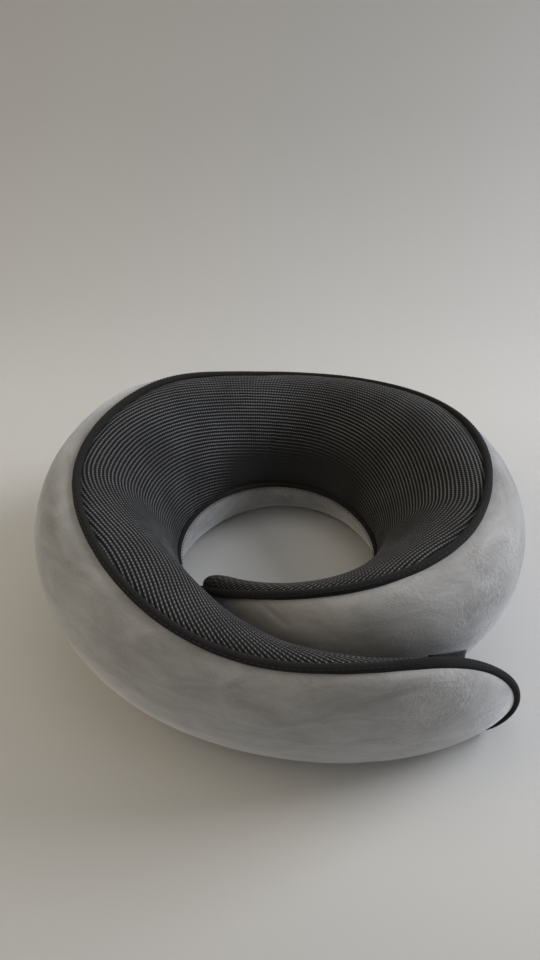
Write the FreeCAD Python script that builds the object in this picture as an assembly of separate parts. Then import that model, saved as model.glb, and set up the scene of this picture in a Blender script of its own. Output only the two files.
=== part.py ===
"""Wrap-around memory foam neck pillow, millimetres.

The pillow is a foam tube bent into a ring, lying on a table with its neck opening upward (+Z).
Its back is towards +Y. One arm (the outer arm) runs from the -X side across the front, and the
other (the inner arm) runs from the +X side and tucks inside it. A removable cover wraps the foam:
velour outside and underneath, spacer mesh towards the neck, joined by a binding on both seams.
The cover and the foam bend at two places, one on each side, where the arms swing open.

Every section stands in a vertical plane square to the ring's path. An angle THETA, in degrees from
the back and positive towards -X, places it. Round a section, PHI is 0 at the outermost point, 90 at
the crest and 180 at the neck side. Layers are the same surface, moved inward by their depth.
"""

import FreeCAD, Part
import math
import os

V = FreeCAD.Vector

# Ring: angle, radius of the path, half width, height and PHI of the upper seam at each station.
STATIONS = (
    (-226, 57.8, 11.5, 65, 46),
    (-200, 65, 15, 78, 61),
    (-180, 75, 19, 91, 76),
    (-135, 91, 38, 103, 88),
    (-90, 100, 42, 101, 84),
    (-45, 113, 44, 100, 66),
    (0, 126, 39, 93, 64),
    (45, 118, 36, 110, 90),
    (90, 112, 37, 116, 94),
    (135, 114, 38, 112, 87),
    (180, 125, 24, 97, 78),
    (210, 142, 18, 92, 94),
    (234, 154, 15, 60, 98),
)
CENTRE_X, CENTRE_Y = 3.4, -6.7  # from the middle of the neck opening to the origin
SINK = 3.0  # the round section reaches this far below the table and is flattened there
LEAN = 0.25  # sideways shift of a section for each mm of height: its top leans outward
TIP_POWER = 2.4  # bluntness of the rounded arm ends
TIP_OUTER = (206.0, 235.5)  # where the outer arm's end starts to round, and its pole
TIP_INNER = (-206.0, -232.4)
TIP_DROOP_OUTER, TIP_DROOP_INNER = 11.0, 5.0  # each arm's end hangs this much lower at its pole
BROW = 7.0  # the outer arm's neck side bulges over the inner arm
BROW_FROM, BROW_MOST, BROW_TO = 95.0, 140.0, 200.0  # THETA where it starts, peaks and ends
BROW_PHI, BROW_WIDE = 126.0, 24.0  # where it is round the section, and how wide
TIP_CUT = 0.992  # the arm ends are cut off flat at this part of the rounding
TIP_SECTIONS, TIP_FRAMES = 6, 12  # sections of the cover, and frames of the binding, on that part
FOAM_CUT = 0.95  # the foam stops a little before the cover

# Seams and layers
LOW_SEAM, LOW_SEAM_TIP = 197.0, 238.0  # PHI of the lower seam, along the ring and on the arms
LOW_SEAM_FROM, LOW_SEAM_TO = 95.0, 150.0  # between these angles it runs from one to the other
COVER = 0.9  # velour and mesh thickness
FOAM_DEPTH = 1.25  # from the outside to the foam: cover and a small clearance
SEAM_GAP = 1.3  # between the velour's edge and the mesh's edge, under the binding
SEAM_GAP_TIP = 2.5  # added to it towards the arm ends
CLAMP = 1.2  # how softly an inner layer flattens over the table
BINDING_W, BINDING_H, BINDING_UP, BINDING_TIP_UP = 4.6, 2.4, 0.25, 0.5
BINDING_CROWN = 0.6  # width of its top, as a part of its foot
LEAST = 0.3  # no half width or half height gets smaller than this
LEAST_SCALE = 0.12  # the same for the seam gap's angle at the arm ends

# Bending zones, where each arm swings on the back of the pillow
HINGE_OUTER, HINGE_INNER = 82.0, -78.0
FLEX = 10.0  # half of each bending zone, degrees

# Zipper in the lower back, on one circle seen from above
ZIP_PHI = -30.0
ZIP_HALF = 42.0  # half of the zipper's arc, degrees round its own centre
ZIP_UP = 1.1  # clearance over the velour
TAPE_W, TAPE_T = 6.5, 0.5
COIL_W, COIL_H, COIL_GAP = 1.9, 1.5, 0.2
COIL_SHORT = 2.0  # the coils end this many degrees before the tapes
SEWN, RUNNING, OVER_TAPE = 0.05, 0.25, 0.1  # clearances: coil on tape, slider over coil and over tape
SLIDER_L, SLIDER_W, SLIDER_WALL, SLIDER_FLANGE = 11.0, 8.0, 1.0, 0.9
BAIL_AT, BAIL_W, BAIL_T, BAIL_UP = 3.4, 1.6, 1.1, 1.75
PULL_L, PULL_W, PULL_T, PULL_ROUND = 17.0, 6.4, 1.1, 1.6
PULL_EYE_W, PULL_EYE_L = 3.6, 4.7
PULL_RISE = 0.9  # its crossbar's middle, over the slider's plate
STOP_L, STOP_IN = 2.4, 1.3  # length of a stop, and its place in degrees from the tape's end
SLIDER_IN = 5.0  # the closed slider's place, in the same way

# Hook and loop closure on the arms, and the care label
HOOK_THETA, HOOK_PHI, HOOK_T = (209.5, 218.5), (120.0, 166.0), 1.0
HOOK_TOP = (87.5, 82.5)  # heights of the free end's corners
LOOP_THETA, LOOP_PHI, LOOP_T = (-158.0, -132.0), (-40.0, 0.0), 0.8
PATCH_UP = 0.15
LABEL_THETA, LABEL_PHI, LABEL_T = (48.0, 54.0), (-30.0, 2.0), 0.4


def spline(column):
    """Natural cubic through one column of STATIONS, as a function of THETA."""
    xs = [row[0] for row in STATIONS]
    ys = [row[column] for row in STATIONS]
    n = len(xs)
    steps = [xs[i + 1] - xs[i] for i in range(n - 1)]
    slopes = [(ys[i + 1] - ys[i]) / steps[i] for i in range(n - 1)]
    diagonal = [1.0] * n
    right = [0.0] * n
    bends = [0.0] * n
    for i in range(1, n - 1):
        below = steps[i - 1] / diagonal[i - 1] if i > 1 else 0.0
        diagonal[i] = 2 * (steps[i - 1] + steps[i]) - below * steps[i - 1]
        right[i] = 6 * (slopes[i] - slopes[i - 1]) - below * right[i - 1]
    for i in range(n - 2, 0, -1):
        bends[i] = (right[i] - steps[i] * bends[i + 1]) / diagonal[i]

    def value(theta):
        i = max(k for k in range(n - 1) if k == 0 or theta >= xs[k])
        a, b = xs[i + 1] - theta, theta - xs[i]
        h = steps[i]
        if theta > xs[-1]:  # past the last station it runs on straight
            end = slopes[-1] + bends[-2] * h / 6
            return ys[-1] + end * (theta - xs[-1])
        if theta < xs[0]:
            start = slopes[0] - bends[1] * steps[0] / 6
            return ys[0] + start * (theta - xs[0])
        cubic = (bends[i] * a**3 + bends[i + 1] * b**3) / (6 * h)
        return cubic + (ys[i] / h - bends[i] * h / 6) * a + (ys[i + 1] / h - bends[i + 1] * h / 6) * b

    return value


radius_at, width_at, height_at, seam_at = (spline(k) for k in (1, 2, 3, 4))


def path(theta):
    r, t = radius_at(theta), math.radians(theta)
    return CENTRE_X - r * math.sin(t), CENTRE_Y + r * math.cos(t)


def outward(theta):
    """Unit vector square to the path, away from the neck."""
    (x0, y0), (x1, y1) = path(theta - 0.05), path(theta + 0.05)
    dx, dy = x1 - x0, y1 - y0
    length = math.hypot(dx, dy)
    return dy / length, -dx / length


def tip_share(theta):
    """How far theta is along a rounded arm end, 0 before it and 1 at its pole."""
    start, pole = TIP_OUTER if theta > 0 else TIP_INNER
    return max(0.0, (theta - start) / (pole - start))


def tip_scale(theta, depth=0.0):
    start, pole = TIP_OUTER if theta > 0 else TIP_INNER
    shorter = math.degrees(2 * depth / radius_at(theta))
    span = abs(pole - start) - shorter
    share = min(1.0, max(0.0, abs(theta) - abs(start)) / span)
    return (1 - share**TIP_POWER) ** (1 / TIP_POWER)


def ease(value, start, end):
    """0 at start, 1 at end, and smooth between."""
    share = min(1.0, max(0.0, (value - start) / (end - start)))
    return share * share * (3 - 2 * share)


def low_seam_at(theta):
    share = ease(abs(theta), LOW_SEAM_FROM, LOW_SEAM_TO)
    return LOW_SEAM + (LOW_SEAM_TIP - LOW_SEAM) * share


def droop_at(theta):
    most = TIP_DROOP_OUTER if theta > 0 else TIP_DROOP_INNER
    return most * tip_share(theta) ** 2


def brow(theta, phi):
    """How far the bulge pushes the surface towards the neck."""
    rise, fall = ease(theta, BROW_FROM, BROW_MOST), ease(theta, BROW_TO, BROW_MOST)
    away = (phi % 360 - BROW_PHI) / BROW_WIDE
    return BROW * min(rise, fall) * math.exp(-away * away)


def surface(theta, phi, depth=0.0, flat=None):
    """Point of the layer that lies depth inside the pillow; flat is the height it stays above."""
    half = (height_at(theta) + SINK) / 2
    middle = half - SINK
    scale = tip_scale(theta, depth)
    a = max(LEAST, width_at(theta) * scale - depth)
    b = max(LEAST, half * scale - depth)
    c, s = math.cos(math.radians(phi)), math.sin(math.radians(phi))
    rise = b * s
    u = a * c + LEAN * rise - brow(theta, phi)
    z = middle - droop_at(theta) + rise
    if flat is not None:
        over = z - flat
        z = flat + (over + math.hypot(over, CLAMP)) / 2
    (x, y), (nx, ny) = path(theta), outward(theta)
    return V(x + u * nx, y + u * ny, z)


def facing(theta, phi):
    """Unit normal of the outside, pointing out."""
    along = surface(theta + 0.2, phi) - surface(theta - 0.2, phi)
    round_ = surface(theta, phi + 0.5) - surface(theta, phi - 0.5)
    n = along.cross(round_)
    n.normalize()
    middle = surface(theta, phi, width_at(theta) * tip_scale(theta) / 2) - surface(theta, phi)
    return n if n.dot(middle) < 0 else n * -1


def spread(start, end, count):
    return [start + (end - start) * k / (count - 1) for k in range(count)]


def sections(start, end, cut=TIP_CUT, step=6.0, count=TIP_SECTIONS):
    """Angles from start to end, closer together where an arm end is rounded."""
    rounding, pole = TIP_OUTER if end > 0 else TIP_INNER
    if abs(end) <= abs(rounding):
        return spread(start, end, 2 + int(abs(end - start) / step))
    quarter = math.pi / 2 / count
    shares = [cut * math.sin(quarter * k) for k in range(1, count + 1)]
    body = spread(start, rounding, 2 + int(abs(rounding - start) / step))
    return body + [rounding + (pole - rounding) * s for s in shares]


def curve(points, closed=False):
    b = Part.BSplineCurve()
    spans = len(points) if closed else len(points) - 1
    shares = [k / spans for k in range(spans + 1)]
    b.interpolate(Points=points, Parameters=shares, PeriodicFlag=closed)
    return b.toShape()


def loft(wires, ruled=False):
    shape = Part.makeLoft(wires, True, ruled)
    solid = shape.Solids[0]
    return solid if solid.Volume > 0 else solid.reversed()


def above_table(shape):
    size = 500.0
    table = Part.makeBox(2 * size, 2 * size, size, V(-size, -size, -size))
    return shape.cut(table).Solids[0]


def foam(start, end):
    """A length of the foam core."""
    wires = []
    for theta in sections(start, end, FOAM_CUT):
        ring = [surface(theta, phi, FOAM_DEPTH, FOAM_DEPTH) for phi in range(0, 360, 12)]
        wires.append(Part.Wire(curve(ring, True)))
    return loft(wires)


def panel(start, end, edges, count):
    """A length of cover between two PHI edges, which are functions of THETA."""
    wires = []
    for theta in sections(start, end):
        low, high = edges(theta)
        turns = spread(low, high, count)
        out = [surface(theta, phi) for phi in turns]
        inside = [surface(theta, phi, COVER, COVER) for phi in reversed(turns)]
        sides = [curve(out), Part.makeLine(out[-1], inside[0])]
        sides += [curve(inside), Part.makeLine(inside[-1], out[0])]
        wires.append(Part.Wire(sides))
    return loft(wires)


def edge_gap(theta):
    """Half of the gap under the binding, as an angle round the section."""
    size = (width_at(theta) + height_at(theta) / 2) / 2 * max(LEAST_SCALE, tip_scale(theta))
    return math.degrees((SEAM_GAP + SEAM_GAP_TIP * tip_share(theta)) / 2 / size)


def mesh_edges(theta):
    gap = edge_gap(theta)
    return seam_at(theta) + gap, low_seam_at(theta) - gap


def velour_edges(theta):
    gap = edge_gap(theta)
    return low_seam_at(theta) + gap - 360, seam_at(theta) - gap


def band(frames, ruled=False):
    """A strip of binding through frames of centre, outward normal, direction and lift."""
    wires = []
    for centre, normal, ahead, lift in frames:
        side = normal.cross(ahead)
        side.normalize()
        half = side * (BINDING_W / 2)
        up = BINDING_UP + lift
        foot, top = centre + normal * up, centre + normal * (up + BINDING_H)
        narrow = half * BINDING_CROWN
        corners = [foot - half, foot + half, top + narrow, top - narrow]
        wires.append(Part.makePolygon(corners + corners[:1]))
    return loft(wires, ruled)


def seam_frames(thetas, seam):
    """Frames along one seam; the direction runs with the list."""
    step = 0.1 if thetas[-1] > thetas[0] else -0.1
    frames = []
    for theta in thetas:
        before, after = (surface(t, seam(t)) for t in (theta - step, theta + step))
        lift = BINDING_TIP_UP * min(1.0, 2 * tip_share(theta))
        frames.append((surface(theta, seam(theta)), facing(theta, seam(theta)), after - before, lift))
    return frames


def tip_frames(thetas):
    """Along the upper seam, round the arm's end and back along the lower seam."""
    pole = (TIP_OUTER if thetas[-1] > 0 else TIP_INNER)[1]
    upper = seam_frames(thetas, seam_at)
    lower = seam_frames(thetas[::-1], low_seam_at)
    (x0, y0), (x1, y1) = path(pole - 0.5), path(pole + 0.5)
    out = V(x1 - x0, y1 - y0, 0) * (1 if pole > 0 else -1)
    out.normalize()
    end = surface(pole, 0)
    end.z = (upper[-1][0].z + lower[0][0].z) / 2
    return upper + [(end, out, lower[0][0] - upper[-1][0], 2 * BINDING_TIP_UP)] + lower


def patch(theta_range, phi_range, thickness):
    """A thin pad that follows the outside of the cover."""
    wires = []
    for theta in spread(*theta_range, 5):
        turns = spread(*phi_range, 9)
        out = [surface(theta, phi, -PATCH_UP - thickness) for phi in turns]
        foot = [surface(theta, phi, -PATCH_UP) for phi in reversed(turns)]
        sides = [curve(out), Part.makeLine(out[-1], foot[0])]
        sides += [curve(foot), Part.makeLine(foot[-1], out[0])]
        wires.append(Part.Wire(sides))
    return loft(wires)


def hook_tab():
    """The hook pad on the neck side of the outer arm; its upper end stands free, straight up."""
    wires = []
    for theta, height in zip(spread(*HOOK_THETA, 5), spread(*HOOK_TOP, 5)):
        turns = spread(*HOOK_PHI, 9)
        out = [surface(theta, phi, -PATCH_UP - HOOK_T) for phi in turns]
        foot = [surface(theta, phi, -PATCH_UP) for phi in turns]
        nx, ny = outward(theta)
        top = V(foot[0].x, foot[0].y, height)
        edge = top - V(nx, ny, 0) * HOOK_T
        sides = [Part.makeLine(edge, out[0]), curve(out), Part.makeLine(out[-1], foot[-1])]
        foot.reverse()
        sides += [curve(foot), Part.makeLine(foot[-1], top), Part.makeLine(top, edge)]
        wires.append(Part.Wire(sides))
    return loft(wires)


def zip_circle():
    """Centre and radius of the circle that the zipper follows, seen from above."""
    a, b, c = (surface(theta, ZIP_PHI) for theta in (-32.0, 0.0, 32.0))
    d = 2 * (a.x * (b.y - c.y) + b.x * (c.y - a.y) + c.x * (a.y - b.y))
    sa, sb, sc = (p.x**2 + p.y**2 for p in (a, b, c))
    x = (sa * (b.y - c.y) + sb * (c.y - a.y) + sc * (a.y - b.y)) / d
    y = (sa * (c.x - b.x) + sb * (a.x - c.x) + sc * (b.x - a.x)) / d
    return x, y, math.hypot(b.x - x, b.y - y)


ZIP_X, ZIP_Y, ZIP_R = zip_circle()
ZIP_Z = surface(0, ZIP_PHI).z
ZIP_OUT = facing(0, ZIP_PHI)  # in the plane x = 0


def zip_point(across, up, turn=0.0):
    """Point of the zipper: across is up the pillow's side, up is away from the velour."""
    r = ZIP_R + up * ZIP_OUT.y - across * ZIP_OUT.z
    z = ZIP_Z + up * ZIP_OUT.z + across * ZIP_OUT.y
    t = math.radians(turn)
    return V(ZIP_X - r * math.sin(t), ZIP_Y + r * math.cos(t), z)


def zip_band(corners, start, end):
    """Turn a flat outline, given as (across, up), about the zipper's upright axis."""
    points = [zip_point(across, up, start) for across, up in corners]
    face = Part.Face(Part.makePolygon(points + points[:1]))
    return face.revolve(V(ZIP_X, ZIP_Y, 0), V(0, 0, 1), end - start).Solids[0]


def box_outline(low, high, foot, top):
    return [(low, foot), (high, foot), (high, top), (low, top)]


def zip_tape(side):
    inner, outer = sorted((side * COIL_GAP / 2, side * TAPE_W))
    return zip_band(box_outline(inner, outer, ZIP_UP, ZIP_UP + TAPE_T), -ZIP_HALF, ZIP_HALF)


COIL_FOOT = ZIP_UP + TAPE_T + SEWN
SLIDE_FOOT = COIL_FOOT + COIL_H + RUNNING


def zip_coil(side):
    inner, outer = sorted((side * COIL_GAP / 2, side * (COIL_GAP / 2 + COIL_W)))
    ends = ZIP_HALF - COIL_SHORT
    return zip_band(box_outline(inner, outer, COIL_FOOT, COIL_FOOT + COIL_H), -ends, ends)


def zip_stop(turn):
    wide = COIL_GAP / 2 + COIL_W
    half = math.degrees(STOP_L / 2 / ZIP_R)
    outline = box_outline(-wide, wide, COIL_FOOT, COIL_FOOT + COIL_H)
    return zip_band(outline, turn - half, turn + half)


SLIDER_TURN = ZIP_HALF - SLIDER_IN
PLATE_TOP = SLIDE_FOOT + SLIDER_WALL


def arc_angle(length):
    return math.degrees(length / ZIP_R)


def slider():
    """Plate over the coils with a flange down each side and a bail for the pull."""
    wide = SLIDER_W / 2
    inner = wide - SLIDER_FLANGE
    low = COIL_FOOT + OVER_TAPE
    outline = [(-wide, low), (-inner, low), (-inner, SLIDE_FOOT), (inner, SLIDE_FOOT)]
    outline += [(inner, low), (wide, low), (wide, PLATE_TOP), (-wide, PLATE_TOP)]
    half = arc_angle(SLIDER_L / 2)
    body = zip_band(outline, SLIDER_TURN - half, SLIDER_TURN + half)
    foot, post = arc_angle(BAIL_AT), arc_angle(BAIL_T / 2)
    side = BAIL_W / 2
    under, top = PLATE_TOP + BAIL_UP, PLATE_TOP + BAIL_UP + BAIL_T
    for turn in (SLIDER_TURN - foot, SLIDER_TURN + foot):
        outline = box_outline(-side, side, PLATE_TOP - 0.1, top)
        body = body.fuse(zip_band(outline, turn - post, turn + post))
    outline = box_outline(-side, side, under, top)
    body = body.fuse(zip_band(outline, SLIDER_TURN - foot, SLIDER_TURN + foot))
    return body.removeSplitter().Solids[0]


def pull_axes():
    """Middle of the pull's crossbar, and the directions across, ahead and up at the slider."""
    pivot = zip_point(0, PLATE_TOP + PULL_RISE, SLIDER_TURN)
    across = zip_point(1, 0, SLIDER_TURN) - zip_point(0, 0, SLIDER_TURN)
    up = zip_point(0, 1, SLIDER_TURN) - zip_point(0, 0, SLIDER_TURN)
    return pivot, across, up.cross(across), up


def pull_tab():
    """Flat tab whose eye goes round the bail; it lies along the zipper, towards the middle."""
    bar = PULL_T / 2
    plate = Part.makeBox(PULL_W, PULL_L, PULL_T, V(-PULL_W / 2, -bar, -bar))
    corners = [e for e in plate.Edges if abs(e.tangentAt(e.FirstParameter).z) > 0.9]
    far = [e for e in corners if e.CenterOfMass.y > 0]
    tab = plate.makeFillet(PULL_ROUND, far)
    eye = Part.makeBox(PULL_EYE_W, PULL_EYE_L, 3 * PULL_T, V(-PULL_EYE_W / 2, bar, -1.5 * PULL_T))
    tab = tab.cut(eye)
    pivot, x, y, z = pull_axes()
    place = FreeCAD.Matrix(x.x, y.x, z.x, pivot.x, x.y, y.y, z.y, pivot.y, x.z, y.z, z.z, pivot.z)
    tab.Placement = FreeCAD.Placement(place)
    return tab


def save(name, shape):
    if not shape.isValid():
        print("not valid:", name)
    shape.exportStep("parts/%s.step" % name)
    box = shape.BoundBox
    print("%-24s %9.0f mm3  z %6.2f to %6.2f" % (name, shape.Volume, box.ZMin, box.ZMax))
    return box


def lengths():
    """The five lengths of the ring: name, first and last angle."""
    a0, a1 = HINGE_OUTER - FLEX, HINGE_OUTER + FLEX
    b0, b1 = HINGE_INNER + FLEX, HINGE_INNER - FLEX
    yield "back", b0, a0
    yield "flex_outer", a0, a1
    yield "flex_inner", b0, b1
    yield "arm_outer", a1, TIP_OUTER[1]
    yield "arm_inner", b1, TIP_INNER[1]


def main():
    os.makedirs("parts", exist_ok=True)
    boxes = []
    for name, start, end in lengths():
        boxes.append(save("foam_" + name, foam(start, end)))
        boxes.append(save("velour_" + name, above_table(panel(start, end, velour_edges, 27))))
        boxes.append(save("mesh_" + name, panel(start, end, mesh_edges, 15)))
        thetas = sections(start, end, step=3.0, count=TIP_FRAMES)
        if name.startswith("arm"):
            boxes.append(save("binding_" + name, band(tip_frames(thetas), True)))
        else:
            boxes.append(save("binding_top_" + name, band(seam_frames(thetas, seam_at))))
            boxes.append(save("binding_low_" + name, band(seam_frames(thetas, low_seam_at))))
    for side, word in ((1, "upper"), (-1, "lower")):
        boxes.append(save("zip_tape_" + word, zip_tape(side)))
        boxes.append(save("zip_coil_" + word, zip_coil(side)))
    boxes.append(save("zip_stop_closed", zip_stop(ZIP_HALF - STOP_IN)))
    boxes.append(save("zip_stop_open", zip_stop(STOP_IN - ZIP_HALF)))
    boxes.append(save("zip_slider", slider()))
    boxes.append(save("zip_pull", pull_tab()))
    boxes.append(save("hook_patch", hook_tab()))
    boxes.append(save("loop_patch", patch(LOOP_THETA, LOOP_PHI, LOOP_T)))
    boxes.append(save("care_label", patch(LABEL_THETA, LABEL_PHI, LABEL_T)))
    whole = FreeCAD.BoundBox()
    for box in boxes:
        whole.add(box)
    print("box x %.2f %.2f  y %.2f %.2f" % (whole.XMin, whole.XMax, whole.YMin, whole.YMax))
    print("box z %.2f %.2f" % (whole.ZMin, whole.ZMax))
    print("zipper axis %.2f %.2f radius %.2f height %.2f" % (ZIP_X, ZIP_Y, ZIP_R, ZIP_Z))
    print("hinges", path(HINGE_OUTER), path(HINGE_INNER))
    pivot, across = pull_axes()[:2]
    print("pull pivot", pivot, "axis", across)


main()
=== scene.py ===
"""Wrap-around memory foam neck pillow: its looks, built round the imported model, in metres.

The pillow is a foam tube bent into a ring. THETA places a section, in degrees from the back and
positive towards -X; PHI goes round it, 0 at the outermost point, 90 at the crest, 180 at the neck.
Each soft piece is made in two lengths that meet at the middle of the back, one for each arm.
"""

import math

import bpy
import numpy as np
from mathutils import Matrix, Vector


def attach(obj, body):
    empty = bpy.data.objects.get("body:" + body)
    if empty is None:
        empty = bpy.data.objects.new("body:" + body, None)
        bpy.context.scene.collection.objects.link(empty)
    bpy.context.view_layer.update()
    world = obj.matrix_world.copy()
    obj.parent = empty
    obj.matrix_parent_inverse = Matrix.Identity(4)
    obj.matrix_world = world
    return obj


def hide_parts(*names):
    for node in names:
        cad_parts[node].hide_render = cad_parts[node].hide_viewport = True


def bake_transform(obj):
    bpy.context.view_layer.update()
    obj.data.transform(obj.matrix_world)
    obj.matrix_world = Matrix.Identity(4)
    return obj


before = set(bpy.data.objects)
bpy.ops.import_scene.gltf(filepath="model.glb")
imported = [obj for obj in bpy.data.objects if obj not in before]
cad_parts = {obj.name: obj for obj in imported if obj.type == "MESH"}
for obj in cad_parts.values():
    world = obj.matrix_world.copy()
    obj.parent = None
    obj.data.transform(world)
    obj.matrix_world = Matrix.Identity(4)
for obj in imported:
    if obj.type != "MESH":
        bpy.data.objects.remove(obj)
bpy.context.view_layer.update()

MM = 0.001
# The design, as in the CAD source, millimetres and degrees
STATIONS = np.array([
    (-226, 57.8, 11.5, 65, 46),
    (-200, 65, 15, 78, 61),
    (-180, 75, 19, 91, 76),
    (-135, 91, 38, 103, 88),
    (-90, 100, 42, 101, 84),
    (-45, 113, 44, 100, 66),
    (0, 126, 39, 93, 64),
    (45, 118, 36, 110, 90),
    (90, 112, 37, 116, 94),
    (135, 114, 38, 112, 87),
    (180, 125, 24, 97, 78),
    (210, 142, 18, 92, 94),
    (234, 154, 15, 60, 98),
], float)  # fmt: skip
CENTRE_X, CENTRE_Y = 3.4, -6.7
SINK, LEAN, TIP_POWER, CLAMP = 3.0, 0.25, 2.4, 1.2
TIP_OUTER, TIP_INNER, TIP_CUT, FOAM_CUT = (206.0, 235.5), (-206.0, -236.5), 0.992, 0.95
TIP_DROOP_OUTER, TIP_DROOP_INNER = 11.0, 5.0
BROW, BROW_FROM, BROW_MOST, BROW_TO, BROW_PHI, BROW_WIDE = 7.0, 95.0, 140.0, 200.0, 126.0, 24.0
# Soft swellings that the plain CAD solids leave out: size, THETA and PHI of the middle, and spread
SHOULDER = (5.5, 47.0, 50.0, 16.0, 32.0)  # sideways, at the back of the outer arm's side
CREST = (-2.7, 13.0, 75.0, 19.0, 45.0)  # upward, at the middle of the back
LOW_SEAM, LOW_SEAM_TIP, LOW_SEAM_FROM, LOW_SEAM_TO = 197.0, 238.0, 95.0, 150.0
# On the outer arm's end both seams swing to the front and meet before the pole, at END_SEAM
END_SEAM, END_SEAM_FROM, END_SEAM_TO = 15.0, 212.0, 230.9
COVER, FOAM_DEPTH = 0.9, 1.3
BINDING_UP, BINDING_TIP_UP = 0.25, 0.5
ZIP_PHI, ZIP_HALF, ZIP_UP = -30.0, 42.0, 1.1
TAPE_W, TAPE_T, COIL_W, COIL_H, COIL_GAP = 6.5, 0.5, 1.9, 1.5, 0.2
HOOK_THETA, HOOK_PHI, HOOK_T, HOOK_TOP = (209.5, 218.5), (120.0, 166.0), 1.0, (87.5, 82.5)
LOOP_THETA, LOOP_PHI, LOOP_T = (-158.0, -132.0), (-40.0, 0.0), 0.8
LABEL_THETA, LABEL_PHI, LABEL_T = (48.0, 54.0), (-30.0, 2.0), 0.4
PATCH_UP = 0.15
LEAST_Z = 0.02  # no cloth comes lower than this over the table

# Cloth detail
RIB_PITCH, RIB_HIGH = 2.45, 0.34  # ribs of the spacer mesh
DOT_PITCH, DOT_SHIFT = 2.05, 0.31  # dots along a rib, and the next rib's shift as a part of it
# How steeply the ribs climb from the lower seam, as a slope, at each angle
RIB_CLIMB = ((-226, -0.5), (-135, -0.45), (-103, -0.1), (-65, 0.13), (-25, 0.05), (0, 0.0), (37, 0.18),
             (96, 0.12), (141, 0.32), (180, 0.48), (234, 0.5))  # fmt: skip
SEAM_PULL, SEAM_WIDE = 1.1, 5.0  # how deep and how wide the seam draws the cloth in
STITCH, STITCH_GAP = 2.2, 1.0
RIBS_END = (220.0, 228.0)  # between these angles the ribs fade out on the outer arm's end
VELOUR_GRID, MESH_GRID = (1.7, 30, 112), (1.95, 24, 205)  # step, rounds at the arm's end, columns
# Folds: THETA and PHI of both ends, depth and width
VELOUR_FOLDS = {"outer": (), "inner": (((-184.0, 61.0), (-174.5, 42.0), 1.3, 1.9),
                                       ((-192.0, 50.0), (-178.0, 22.0), 1.2, 6.0))}  # fmt: skip
MESH_FOLDS = {"inner": (), "outer": (((8.5, 146.0), (14.0, 170.0), 1.4, 2.2),
                                     ((20.0, 140.0), (22.0, 160.0), 0.7, 3.0))}  # fmt: skip


# ---------------------------------------------------------------- the pillow's surface

def spline(column):
    """Natural cubic through one column of STATIONS."""
    xs, ys = STATIONS[:, 0], STATIONS[:, column]
    n, h = len(xs), np.diff(xs)
    m = np.zeros((n, n))
    right = np.zeros(n)
    m[0, 0] = m[-1, -1] = 1.0
    slopes = np.diff(ys) / h
    for i in range(1, n - 1):
        m[i, i - 1], m[i, i], m[i, i + 1] = h[i - 1], 2 * (h[i - 1] + h[i]), h[i]
        right[i] = 6 * (slopes[i] - slopes[i - 1])
    bends = np.linalg.solve(m, right)

    def value(theta):
        t = np.clip(theta, xs[0], xs[-1])
        i = np.clip(np.searchsorted(xs, t, side="right") - 1, 0, n - 2)
        a, b, step = xs[i + 1] - t, t - xs[i], h[i]
        cubic = (bends[i] * a**3 + bends[i + 1] * b**3) / (6 * step)
        inner = cubic + (ys[i] / step - bends[i] * step / 6) * a
        inner = inner + (ys[i + 1] / step - bends[i + 1] * step / 6) * b
        last = slopes[-1] + bends[-2] * h[-1] / 6
        first = slopes[0] - bends[1] * h[0] / 6
        return inner + np.maximum(theta - xs[-1], 0) * last + np.minimum(theta - xs[0], 0) * first

    return value


radius_at, width_at, height_at, seam_at = (spline(k) for k in (1, 2, 3, 4))


def path(theta):
    r, t = radius_at(theta), np.radians(theta)
    return np.stack([CENTRE_X - r * np.sin(t), CENTRE_Y + r * np.cos(t)], -1)


def outward(theta):
    d = path(theta + 0.05) - path(theta - 0.05)
    d = d / np.linalg.norm(d, axis=-1, keepdims=True)
    return np.stack([d[..., 1], -d[..., 0]], -1)


def tip_share(theta):
    start = np.where(theta > 0, TIP_OUTER[0], TIP_INNER[0])
    pole = np.where(theta > 0, TIP_OUTER[1], TIP_INNER[1])
    return np.maximum(0.0, (theta - start) / (pole - start))


def tip_scale(theta, depth=0.0):
    start = np.where(theta > 0, TIP_OUTER[0], -TIP_INNER[0])
    pole = np.where(theta > 0, TIP_OUTER[1], -TIP_INNER[1])
    span = pole - start - np.degrees(2 * depth / radius_at(theta))
    share = np.clip((np.abs(theta) - start) / span, 0, 1)
    return (1 - share**TIP_POWER) ** (1 / TIP_POWER)


def ease(value, start, end):
    share = np.clip((value - start) / (end - start), 0, 1)
    return share * share * (3 - 2 * share)


def seam_left(theta, power):
    """What is left of a seam's way to END_SEAM; a high power makes it turn late."""
    return 1 - np.clip((theta - END_SEAM_FROM) / (END_SEAM_TO - END_SEAM_FROM), 0, 1) ** power


def low_seam_at(theta):
    along = (LOW_SEAM_TIP - LOW_SEAM) * ease(np.abs(theta), LOW_SEAM_FROM, LOW_SEAM_TO)
    return 360 + END_SEAM + (LOW_SEAM + along - 360 - END_SEAM) * seam_left(theta, 6)


def top_seam_at(theta):
    return END_SEAM + (seam_at(theta) - END_SEAM) * seam_left(theta, 3.5) ** 0.625


def brow(theta, phi):
    """How far the outer arm's neck side bulges over the inner arm."""
    share = np.minimum(ease(theta, BROW_FROM, BROW_MOST), ease(theta, BROW_TO, BROW_MOST))
    return BROW * share * np.exp(-(((phi % 360 - BROW_PHI) / BROW_WIDE) ** 2))


def swell(theta, phi, size, mid_theta, mid_phi, spread_theta, spread_phi):
    turn = (phi + 180) % 360 - 180
    return size * np.exp(-(((theta - mid_theta) / spread_theta) ** 2) - ((turn - mid_phi) / spread_phi) ** 2)


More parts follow.
